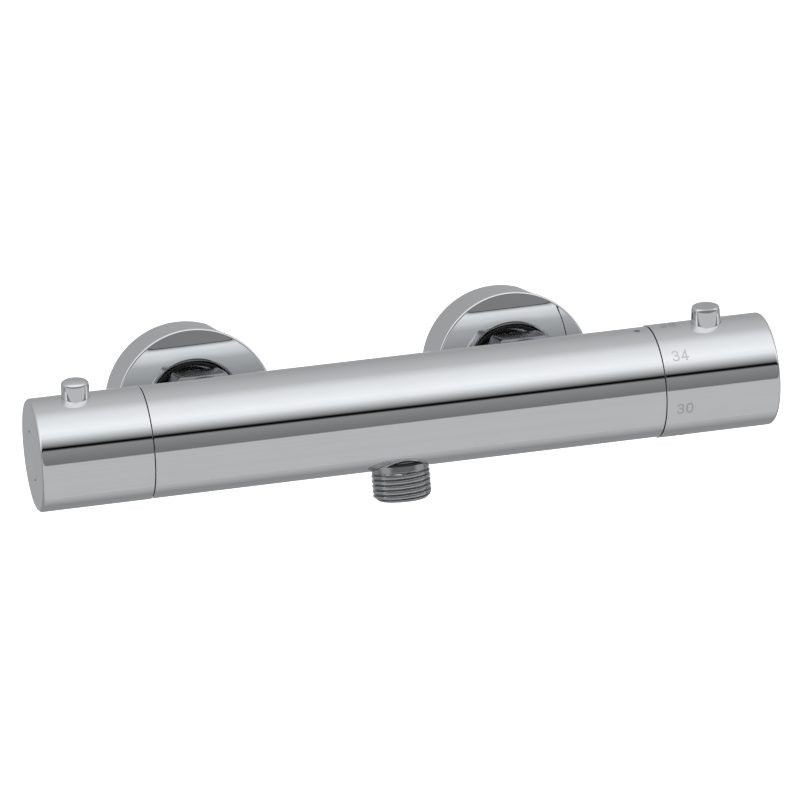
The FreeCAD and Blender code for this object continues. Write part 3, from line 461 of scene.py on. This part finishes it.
def thread(start, end, pitch, depth, crest, fade=1.0):
    """A shape for turned(): a screw thread cut in the run from start to end."""
    def shape(along, radius, angle):
        if not start < along < end or radius < crest - 0.01:
            return radius
        ramp = min(1.0, (along - start) / fade, (end - along) / fade)
        phase = (along / pitch - angle / (2 * math.pi)) % 1.0
        return radius - depth * ramp * groove_of(phase)
    return shape


def run_rows(start, end, step, least):
    """Places for rows along a thread."""
    count = max(1, int((end - start) / step))
    return [(start + (end - start) * index / count, least) for index in range(count + 1)]


# --- the bar -----------------------------------------------------------------------------------

bar = turned("bar_body", [
    (BAR_LEFT, 9.5), (BAR_LEFT, R_BAR, EDGE), (BAR_RIGHT, R_BAR, EDGE), (BAR_RIGHT, 16.5),
    (85.5, 16.5), (85.5, 14.0), (26.0, 14.0), (26.0, 7.0), (-44.0, 7.0), (-44.0, 9.5),
], BAR, CHROME, 256, rows_at=[(x, 15.0) for x in (-76, -44, -20, -13, 13, 20, 44, 76)])
for side, place in INLET.items():
    stub = turned(side + "_stub", [
        (15.0, 6.5), (15.0, 12.5), (24.5, 12.5, 0.6), (24.5, R_HALF_INCH), (18.5, R_HALF_INCH),
        (18.5, 6.5),
    ], place, CHROME, 128)
    carved(bar, stub, "UNION")
pocket = turned("pocket_tool", [(15.4, 0.0), (15.4, 11.2), (30.0, 11.2), (30.0, 0.0)],
                DOWN, CHROME, 128, closed=False)
carved(bar, pocket)
way = turned("way_tool", [(6.0, 0.0), (6.0, 9.0), (30.0, 9.0), (30.0, 0.0)],
             DOWN, CHROME, 96, closed=False)
carved(bar, way)
eased(bar, BAR, 0.0, 13.5, R_BAR, EDGE)
skin_normals(bar, BAR, R_BAR)
stands_for(bar, "fixed_group", "valve_body")


# --- hose outlet -------------------------------------------------------------------------------

outlet = turned("outlet_nipple_threaded", [
    (14.5, 7.0), (14.5, 9.0), (15.6, 9.0), (15.6, 10.4), (20.3, 10.4, 0.2), (20.3, 9.9),
    (20.7, 9.9), (21.1, R_HALF_INCH), (29.6, R_HALF_INCH, 0.4), (31.2, 8.6, 0.5), (31.2, 7.0, 0.3),
], DOWN, ROOT_SHADED_CHROME, 192,
    shape=thread(20.8, 30.6, PITCH, 0.8, 9.3, 0.5),
    rows_at=run_rows(21.15, 30.9, 0.06, 8.4))
stands_for(outlet, "fixed_group", "outlet_nipple")


# --- handles -----------------------------------------------------------------------------------


def handle(name, place, button_place, start, radius, length, button_at, button_radius):
    """The chromed cup with its hub, cap well and button hole; start is where its skin begins
    and button_at where its button stands, from the bar's end."""
    end = SEAM + length
    hub_end = end - 7.0
    cup = turned(name + "_shell", [
        (start, radius - 2.0), (start, radius, EDGE), (end, radius, 1.4),
        (end, 8.82, 0.12), (end - 1.4, 8.82), (end - 1.4, 3.9), (22.0, 3.9), (22.0, 2.1),
        (18.0, 2.1), (18.0, 7.5), (10.0, 7.5), (10.0, 9.5, 0.4), (hub_end, 9.5),
        (hub_end, radius - 2.0),
    ], place, CHROME, 256, rows_at=[(button_at - 8, 10.0), (button_at + 8, 10.0)])
    hole_radius = button_radius + 0.06
    hole = turned(name + "_hole_tool", [
        (9.1, 0.0), (9.1, 3.5), (10.6, 3.5), (10.6, hole_radius), (24.0, hole_radius), (24.0, 0.0),
    ], button_place, CHROME, 96, closed=False)
    carved(cup, hole)
    eased(cup, place, button_at, button_radius + 2.0, radius, 0.16)
    skin_normals(cup, place, radius)
    return cup


FLOW_LENGTH, TEMP_LENGTH = 39.6, 42.3
FLOW_BUTTON_AT, TEMP_BUTTON_AT = 23.5, 21.1
R_FLOW_BUTTON, R_TEMP_BUTTON = 4.95, 5.4
R_TEMP = 20.4
FLOW_BUTTON = frame_at((BAR_LEFT - FLOW_BUTTON_AT, AXIS, 0), BUTTON_LINE, (1, 0, 0))
TEMP_BUTTON = frame_at((BAR_RIGHT + TEMP_BUTTON_AT, AXIS, 0), BUTTON_LINE, (1, 0, 0))

flow_handle = handle("flow_handle", LEFT_END, FLOW_BUTTON, 0.35, 20.1, FLOW_LENGTH,
                     FLOW_BUTTON_AT, R_FLOW_BUTTON)
stands_for(flow_handle, "flow_handle_group", "flow_handle")

temp_handle = handle("temp_handle", RIGHT_END, TEMP_BUTTON, 0.25, R_TEMP, TEMP_LENGTH,
                     TEMP_BUTTON_AT, R_TEMP_BUTTON)
stands_for(temp_handle, "temp_handle_group", "temp_handle")


def cap(name, place, end, notch_turn):
    """The flush cap with two prying notches on its rim."""
    piece = turned(name, [
        (end - 1.4, 0.0), (end - 1.4, 8.7), (end, 8.7, 0.14), (end, 0.0),
    ], place, CHROME, 192, closed=False)
    axis = place.to_3x3() @ Vector((1, 0, 0))
    for turn in (0.0, math.pi):
        angle = notch_turn + turn
        centre = place @ (Vector((end, 8.55 * math.cos(angle), 8.55 * math.sin(angle))) * MM)
        tool = turned(name + "_notch_tool", [
            (-0.6, 0.0), (-0.6, 0.55), (1.0, 0.55), (1.0, 0.0),
        ], frame_at(centre / MM, axis), CHROME, 32, closed=False)
        carved(piece, tool)
    return piece


flow_cap = cap("flow_handle_cap_disc", LEFT_END, SEAM + FLOW_LENGTH, TILT)
stands_for(flow_cap, "flow_handle_group", "flow_handle_cap")
temp_cap = cap("temp_handle_cap_disc", RIGHT_END, SEAM + TEMP_LENGTH, -TILT)
stands_for(temp_cap, "temp_handle_group", "temp_handle_cap")


# --- push buttons ------------------------------------------------------------------------------

flow_button = turned("flow_button_knob", [
    (16.0, 3.5), (16.0, 6.05), (17.0, 6.05), (17.0, R_FLOW_BUTTON), (24.4, R_FLOW_BUTTON),
    (24.75, 4.91),
    (25.1, 4.8), (25.45, 4.52), (25.8, 3.95), (26.05, 3.15), (26.2, 2.2), (26.28, 1.2), (26.3, 0.0),
    (23.5, 0.0), (23.5, 3.5),
], FLOW_BUTTON, CHROME, 128)
stands_for(flow_button, "flow_button_group", "flow_button")

temp_button = turned("temp_button_knob", [
    (16.0, 3.5), (16.0, 6.5), (17.0, 6.5), (17.0, R_TEMP_BUTTON), (20.0, R_TEMP_BUTTON),
    (24.85, 5.14),
    (25.25, 5.09), (25.6, 5.01), (25.9, 4.9), (26.15, 4.74), (26.27, 4.5), (26.3, 0.0),
    (23.5, 0.0), (23.5, 3.5),
], TEMP_BUTTON, CHROME, 128)
stands_for(temp_button, "temp_button_group", "temp_button")


# --- inlets ------------------------------------------------------------------------------------


def hexagon_shape(flats, start, end, chamfer):
    """A shape for turned(): a hexagon with its corners turned down at both faces."""
    corner = flats / math.sqrt(3)

    def shape(along, radius, angle):
        if radius < flats / 2 - 0.5:
            return radius
        off = (angle + math.pi / 6) % (math.pi / 3) - math.pi / 6
        side = min(flats / 2 / math.cos(off), corner - 0.12)
        inset = min(along - start, end - along)
        cone = flats / 2 - 0.35 + inset * (corner - flats / 2 + 0.35) / chamfer
        return min(side, cone)
    return shape


def on_both(build):
    """Builds an inlet piece on each side."""
    for side in INLETS:
        piece, node, slot_name = build(side, INLET[side])
        stands_for(piece, "fixed_group", side + "_" + node)


def nut(side, place):
    """The union nut, with rows close together where its corners are turned down."""
    start, end, flats = 41.0, 58.0, 30.0
    steps = [0.13 * step for step in range(1, 14)]
    piece = turned(side + "_union_nut_hex", [
        (start, 10.0, 0.3), (start, flats / 2), (end, flats / 2), (end, 13.3, 0.3), (44.0, 13.3),
        (44.0, 10.0),
    ], place, DULL_SHADED_CHROME, 192, shape=hexagon_shape(flats, start, end, 1.3),
        rows_at=[(start + step, 14.0) for step in steps] + [(end - step, 14.0) for step in steps])
    return piece, "union_nut", "chrome"


def tail(side, place):
    """The inlet tail, screwed into the bar's stub."""
    piece = turned(side + "_tail_tube", [
        (18.5, 6.5), (18.5, R_HALF_INCH), (24.5, R_HALF_INCH), (24.5, 12.5, 0.5), (27.0, 12.5, 0.5),
        (27.0, 9.8, 0.3), (44.0, 9.8), (44.0, 12.6), (47.5, 12.6), (47.5, 8.5), (34.5, 8.5),
        (34.5, 6.5),
    ], place, CHROME, 128)
    return piece, "inlet_tail", "chrome"


def rosette(side, place):
    """The deep cup: a crowned face, its edge rolled into a well for the nut, and a floor."""
    centre, bend = 680.8, 620.0
    face = [(centre - math.sqrt(bend ** 2 - radius ** 2), radius)
            for radius in (20.0, 21.5, 23.0, 24.5, 26.0, 27.5, 28.4)]
    piece = turned(side + "_rosette_cup", [
        (64.1, 13.3), (64.1, 15.7, 0.1), (61.03, 15.7, 2.9), *face, (61.5, 29.6, 0.9),
        (85.0, 29.6, 0.2), (85.0, 28.2), (62.9, 28.2, 0.6), (62.9, 17.9, 0.4), (65.5, 17.9, 0.4),
        (65.5, 13.3),
    ], place, CHROME, 256)
    return piece, "rosette", "chrome"


on_both(nut)
on_both(tail)
on_both(rosette)


def union_rings():
    """The eccentric union: rows of (along, radius, offset down) for its two threads and bend."""
    offset, step = 7.5, 0.15
    rows = [(49.5, 8.0, 0.0), (49.5, 12.2, 0.0), (50.3, R_THREE_QUARTER, 0.0)]
    along = 50.3
    while along < 65.3:
        along += step
        rows.append((along, R_THREE_QUARTER, 0.0))
    rows += [(65.5, R_THREE_QUARTER, 0.0), (74.5, R_HALF_INCH, offset)]
    along = 74.6
    while along < 99.0:
        rows.append((along, R_HALF_INCH, offset))
        along += step
    return rows + [(99.2, R_HALF_INCH, offset), (100.0, 9.5, offset), (100.0, 7.0, offset),
                   (74.5, 7.0, offset), (65.5, 8.0, 0.0)]


def eccentric_union(side, place):
    """The union between the nut and the wall, with a real thread at each end."""
    large = thread(50.2, 65.4, PITCH, 1.0, 13.0, 0.6)
    small = thread(77.0, 99.6, PITCH, 1.0, 10.2, 0.6)
    steps = 128
    mesh = bmesh.new()
    rings = []
    for along, radius, offset in union_rings():
        ring = []
        for index in range(steps):
            angle = 2 * math.pi * index / steps
            real = (large if along < 66 else small)(along, radius, angle)
            ring.append(mesh.verts.new((along * MM, (real * math.cos(angle) - offset) * MM,
                                        real * math.sin(angle) * MM)))
        rings.append(ring)
    for index in range(len(rings)):
        join(mesh, rings[index], rings[(index + 1) % len(rings)])
    bmesh.ops.recalc_face_normals(mesh, faces=mesh.faces)
    for edge in mesh.edges:
        edge.smooth = edge.calc_face_angle(0.0) < math.radians(40)
    return finished(side + "_union_threaded", mesh, place, WELL_SHADED_BRASS), "s_union", "brass"


on_both(eccentric_union)


# --- marks on the temperature handle and the bar -----------------------------------------------

STROKE = 0.58
STROKE_LIFT = 0.004
MARK_LIFT = 0.012
FIGURE_WIDTH, FIGURE_HEIGHT, FIGURE_STEP = 2.3, 3.6, 3.3


def loop_of(middle, across, up):
    """A closed, slightly square oval in a figure's 1 by 1 box."""
    steps, squareness = 40, 0.86
    points = []
    for step in range(steps):
        angle = 2 * math.pi * step / steps
        c, s = math.cos(angle), math.sin(angle)
        points.append((0.5 + across * math.copysign(abs(c) ** squareness, c),
                       middle + up * math.copysign(abs(s) ** squareness, s)))
    return points + points[:1]


def bent(points):
    """A smooth line through the points."""
    steps = 8
    line = []
    ends = [points[0]] + list(points) + [points[-1]]
    for index in range(1, len(ends) - 2):
        p, q, r, t = (Vector(point) for point in ends[index - 1:index + 3])
        for step in range(steps):
            u = step / steps
            line.append(0.5 * (2 * q + (r - p) * u + (2 * p - 5 * q + 4 * r - t) * u * u
                               + (3 * q - p - 3 * r + t) * u ** 3))
    return [tuple(point) for point in line] + [tuple(points[-1])]


# The strokes of each figure in a 1 by 1 box, from its lower left corner.
FIGURES = {
    "0": [loop_of(0.5, 0.47, 0.5)],
    "2": [bent([(0.05, 0.76), (0.2, 0.95), (0.5, 1.0), (0.82, 0.9), (0.88, 0.68), (0.62, 0.4),
                (0.04, 0.0)]), [(0.04, 0.0), (0.96, 0.0)]],
    "3": [bent([(0.06, 0.84), (0.22, 0.97), (0.5, 1.0), (0.8, 0.92), (0.88, 0.76), (0.76, 0.6),
                (0.4, 0.53)]),
          bent([(0.4, 0.53), (0.8, 0.47), (0.95, 0.28), (0.82, 0.07), (0.48, 0.0), (0.2, 0.04),
                (0.03, 0.18)])],
    "4": [[(0.72, 0.0), (0.72, 1.0)], [(0.72, 1.0), (0.02, 0.27)], [(0.02, 0.27), (1.0, 0.27)]],
    "6": [bent([(0.86, 0.86), (0.6, 1.0), (0.3, 0.93), (0.1, 0.66), (0.05, 0.32)]),
          loop_of(0.31, 0.46, 0.31)],
    "8": [loop_of(0.77, 0.37, 0.23), loop_of(0.27, 0.46, 0.27)],
}


def stroke(mesh, line, lift):
    """A flat band along the line, half a stroke to each side and past its ends; millimetres."""
    edges = []
    for index, point in enumerate(line):
        before, after = line[max(index - 1, 0)], line[min(index + 1, len(line) - 1)]
        way = (Vector(after) - Vector(before)).normalized()
        side = Vector((-way.y, way.x)) * (STROKE / 2)
        push = way * (STROKE / 2) * ((index == len(line) - 1) - (index == 0))
        edges.append([mesh.verts.new(((Vector(point) + push + turn * side) * MM).to_3d()
                                     + Vector((0, 0, lift * MM))) for turn in (1, -1)])
    for one, two in zip(edges, edges[1:]):
        mesh.faces.new((one[0], one[1], two[1], two[0]))


def round_mark(name, letters, x, from_top, radius):
    """Frosted figures laid round a skin; from_top is the angle from its top to the user's side."""
    mesh = bmesh.new()
    lift = 0.0
    for place, letter in enumerate(letters):
        left = (place - len(letters) / 2) * FIGURE_STEP + (FIGURE_STEP - FIGURE_WIDTH) / 2
        for points in FIGURES[letter]:
            stroke(mesh, [(left + across * FIGURE_WIDTH, (up - 0.5) * FIGURE_HEIGHT)
                          for across, up in points], lift)
            lift += STROKE_LIFT
    data = bpy.data.meshes.new(name)
    mesh.to_mesh(data)
    mesh.free()
    return wrapped(name, data, x, from_top, radius, FROSTED)


def wrapped(name, data, x, from_top, radius, material):
    """Bends a flat mesh onto a round skin, a hair above it, cut across often enough to bend."""
    mesh = bmesh.new()
    mesh.from_mesh(data)
    for step in range(-8, 9):
        bmesh.ops.bisect_plane(mesh, geom=mesh.verts[:] + mesh.edges[:] + mesh.faces[:],
                               plane_co=(0, step * 0.35 * MM, 0), plane_no=(0, 1, 0))
    for vert in mesh.verts:
        level = (radius + MARK_LIFT) * MM + vert.co.z
        angle = math.radians(from_top) - vert.co.y / level
        vert.co = Vector((x * MM + vert.co.x, AXIS * MM - level * math.sin(angle),
                          level * math.cos(angle)))
    return finished(name, mesh, Matrix.Identity(4), material)


def disc(radius):
    """A flat round mesh for a dot."""
    mesh = bmesh.new()
    bmesh.ops.create_circle(mesh, cap_ends=True, segments=40, radius=radius * MM)
    data = bpy.data.meshes.new("dot")
    mesh.to_mesh(data)
    mesh.free()
    return data


for letters, from_top in (("26", 163.0), ("30", 113.5), ("34", 57.8), ("38", 9.0),
                          ("42", -38.0), ("46", -86.0)):
    mark = round_mark("dial_" + letters, letters, 101.4, from_top, R_TEMP)
    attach(mark, "temp_handle_group")
index_mark = wrapped("index_dot", disc(1.15), 89.7, 13.0, R_BAR, PAINTED)
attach(index_mark, "fixed_group")


# --- springs -----------------------------------------------------------------------------------


def coil(name, place, start, end, radius, wire, turns, body, node):
    """A wound spring with closed ends, in the place of its solid."""
    steps, round_steps, ends = 28, 10, 1.4
    whole = turns + 2 * ends
    count = int(whole * steps)
    low, high = start + wire / 2, end - wire / 2
    mesh = bmesh.new()
    rings = []
    for index in range(count + 1):
        turn = whole * index / count
        if turn < ends:
            along = low + turn / ends * wire
        elif turn > turns + ends:
            along = high - (whole - turn) / ends * wire
        else:
            along = low + wire + (turn - ends) / turns * (high - low - 2 * wire)
        angle = 2 * math.pi * turn
        ring = []
        for step in range(round_steps):
            lean = 2 * math.pi * step / round_steps
            out = radius + wire / 2 * math.cos(lean)
            ring.append(mesh.verts.new(Vector((along + wire / 2 * math.sin(lean),
                                               out * math.cos(angle),
                                               out * math.sin(angle))) * MM))
        rings.append(ring)
    for one, two in zip(rings, rings[1:]):
        join(mesh, one, two)
    mesh.faces.new(rings[0])
    mesh.faces.new(list(reversed(rings[-1])))
    bmesh.ops.recalc_face_normals(mesh, faces=mesh.faces)
    piece = finished(name, mesh, place, STEEL)
    stands_for(piece, body, node)
    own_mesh(piece)


coil("flow_button_coil", FLOW_BUTTON, 9.1, 23.5, 2.8, 0.8, 7, "flow_handle_group",
     "flow_button_spring")
coil("temp_button_coil", TEMP_BUTTON, 9.1, 23.5, 2.8, 0.8, 7, "temp_handle_group",
     "temp_button_spring")
coil("thermo_return_coil", BAR, 28.5, 36.5, 8.5, 0.8, 4, "fixed_group",
     "thermo_return_spring")
for side, place in INLET.items():
    coil(side + "_check_coil", place, 35.7, 42.5, 3.7, 0.8, 4, "fixed_group",
         side + "_check_spring")


# --- finishes of the solids that show as they are ----------------------------------------------

FINISHES = {
    BRASS: ["flow_cartridge", "flow_spindle", "thermo_retaining_nut", "thermo_spindle",
            "thermo_wax_element"],
    RUBBER: ["outlet_seal", "flow_nose_seal", "thermo_nose_seal", "thermo_zone_seal",
             "left_inlet_washer", "right_inlet_washer"],
    STEEL: ["flow_handle_screw", "temp_handle_screw", "left_strainer", "right_strainer",
            "thermo_overload_spring"],
    CERAMIC: ["flow_fixed_disc", "flow_moving_disc"],
    PLASTIC: ["flow_stop_ring", "temp_stop_ring", "flow_handle_insert", "temp_handle_insert",
              "thermo_cartridge", "thermo_shuttle", "thermo_push_cup", "left_check_cage",
              "right_check_cage", "left_check_poppet", "right_check_poppet"],
}
for material, nodes in FINISHES.items():
    for node in nodes:
        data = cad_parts[node].data
        data.materials.clear()
        data.materials.append(material)


# --- studio: light by direction, a pale floor and the camera -----------------------------------

# Light round the bar's axis as (turn, level): 0 is straight up, 90 towards the user, 180 down.
STUDIO = [
    (-110, 0.4), (-60, 0.4),
    (-10, 0.6), (10, 0.9), (40, 1.1), (50, 1.0), (70, 0.2),
    (73, 0.0), (76.5, 0.0),
    (79, 0.3), (104, 0.2),
    (106, 0.5), (190, 0.5),
    (210, 0.3), (250, 0.3),
]

# The turn at which the ramp starts, and the direction at which the user's side gives way to the
# floor, both in degrees as above.
RAMP_START = 110
FRONT_END = 98
# How far the black gap sinks towards the left, per unit of x left of its start, and at most.
GAP_FROM, GAP_SLOPE, GAP_MOST = 0.225, 30, 2.5
# The white field is whole up to the first angle from its middle, and gone at the second.
WHITE_WHOLE, WHITE_GONE = 6.3, 7.6
WHITE = (1.6, 1.6, 1.6, 1.0)


def world_ramp(tree, turn):
    """The light by the turn: a room behind, a softbox overhead with a soft front edge, a black
    gap, a dim room in front and a pale field below."""
    ramp = tree.nodes.new("ShaderNodeValToRGB")
    elements = ramp.color_ramp.elements
    elements.remove(elements[1])
    for number, (angle, level) in enumerate(STUDIO):
        spot = (angle + RAMP_START) / 360
        stop = elements[0] if number == 0 else elements.new(spot)
        stop.position = spot
        stop.color = (level * 0.985, level, level * 1.012, 1)
    tree.links.new(turn, ramp.inputs["Fac"])
    return ramp.outputs["Color"]


def build_world(white_at):
    """A soft studio: a light overhead, dimmer in front, with a white field behind the part."""
    world = bpy.data.worlds.new("studio")
    bpy.context.scene.world = world
    world.use_nodes = True
    tree = world.node_tree
    out = tree.nodes["Background"]
    place = tree.nodes.new("ShaderNodeTexCoord").outputs["Generated"]
    x, y, z = split_of(tree, place)
    turn = maths(tree, "ARCTAN2", maths(tree, "MULTIPLY", y, -1.0), z)
    turn = maths(tree, "ADD", maths(tree, "DIVIDE", turn, 2 * math.pi), RAMP_START / 360)
    turn = maths(tree, "FRACT", turn)
    slope = maths(tree, "MULTIPLY", maths(tree, "SUBTRACT", GAP_FROM, x), GAP_SLOPE / 360)
    slope = maths(tree, "MINIMUM", maths(tree, "MAXIMUM", slope, 0.0), GAP_MOST / 360)
    in_front = maths(tree, "LESS_THAN", turn, (FRONT_END + RAMP_START) / 360)
    turn = maths(tree, "ADD", turn, maths(tree, "MULTIPLY", slope, in_front))
    light = world_ramp(tree, turn)
    aim = tree.nodes.new("ShaderNodeVectorMath")
    aim.operation = "DOT_PRODUCT"
    aim.inputs[1].default_value = white_at
    tree.links.new(place, aim.inputs[0])
    whole, gone = math.cos(math.radians(WHITE_WHOLE)), math.cos(math.radians(WHITE_GONE))
    near = maths(tree, "SUBTRACT", aim.outputs["Value"], gone)
    near = maths(tree, "DIVIDE", near, whole - gone, clamp=True)
    tree.links.new(mixed(tree, near, light, WHITE), out.inputs["Color"])


def build_camera():
    """The camera at the photograph's angle, and the direction that it looks in; angles in
    degrees, places in millimetres."""
    distance, azimuth, elevation, roll = 1896.72, 12.7349, 8.7384, 4.8446
    target = Vector((2.048, AXIS, 4.155))
    a, e, r = map(math.radians, (azimuth, elevation, roll))
    back = Vector((-math.sin(a) * math.cos(e), -math.cos(a) * math.cos(e), math.sin(e)))
    forward = -back
    across = forward.cross(Vector((0, 0, 1))).normalized()
    down = forward.cross(across)
    right = math.cos(r) * across + math.sin(r) * down
    up = -(math.cos(r) * down - math.sin(r) * across)
    data = bpy.data.cameras.new("camera")
    data.lens = 240.35
    data.sensor_width = 36.0
    data.sensor_fit = "HORIZONTAL"
    data.clip_start = 0.01
    camera = bpy.data.objects.new("camera", data)
    matrix = Matrix((right, up, back)).transposed().to_4x4()
    matrix.translation = (target + back * distance) * MM
    camera.matrix_world = matrix
    bpy.context.scene.collection.objects.link(camera)
    bpy.context.scene.camera = camera
    return forward


def build_floor():
    """A pale floor well below the part and towards the user; metres."""
    reach, front, back, level = 5.0, -4.415, 0.005, -1.2
    mesh = bmesh.new()
    corners = [(-reach, front), (reach, front), (reach, back), (-reach, back)]
    mesh.faces.new([mesh.verts.new((x, y, level)) for x, y in corners])
    data = bpy.data.meshes.new("floor")
    mesh.to_mesh(data)
    mesh.free()
    floor = bpy.data.objects.new("floor", data)
    bpy.context.scene.collection.objects.link(floor)
    material, tree, shader, place = new_material("pale_floor", grey(0.78), 0.0, 0.7)
    tone = tinted(tree, noise(tree, place, 3.0), (0.80, 0.795, 0.785, 1), (0.84, 0.835, 0.825, 1))
    tree.links.new(tone, shader.inputs["Base Color"])
    data.materials.append(material)


build_world(build_camera())
build_floor()
bpy.context.scene.view_settings.view_transform = "Standard"
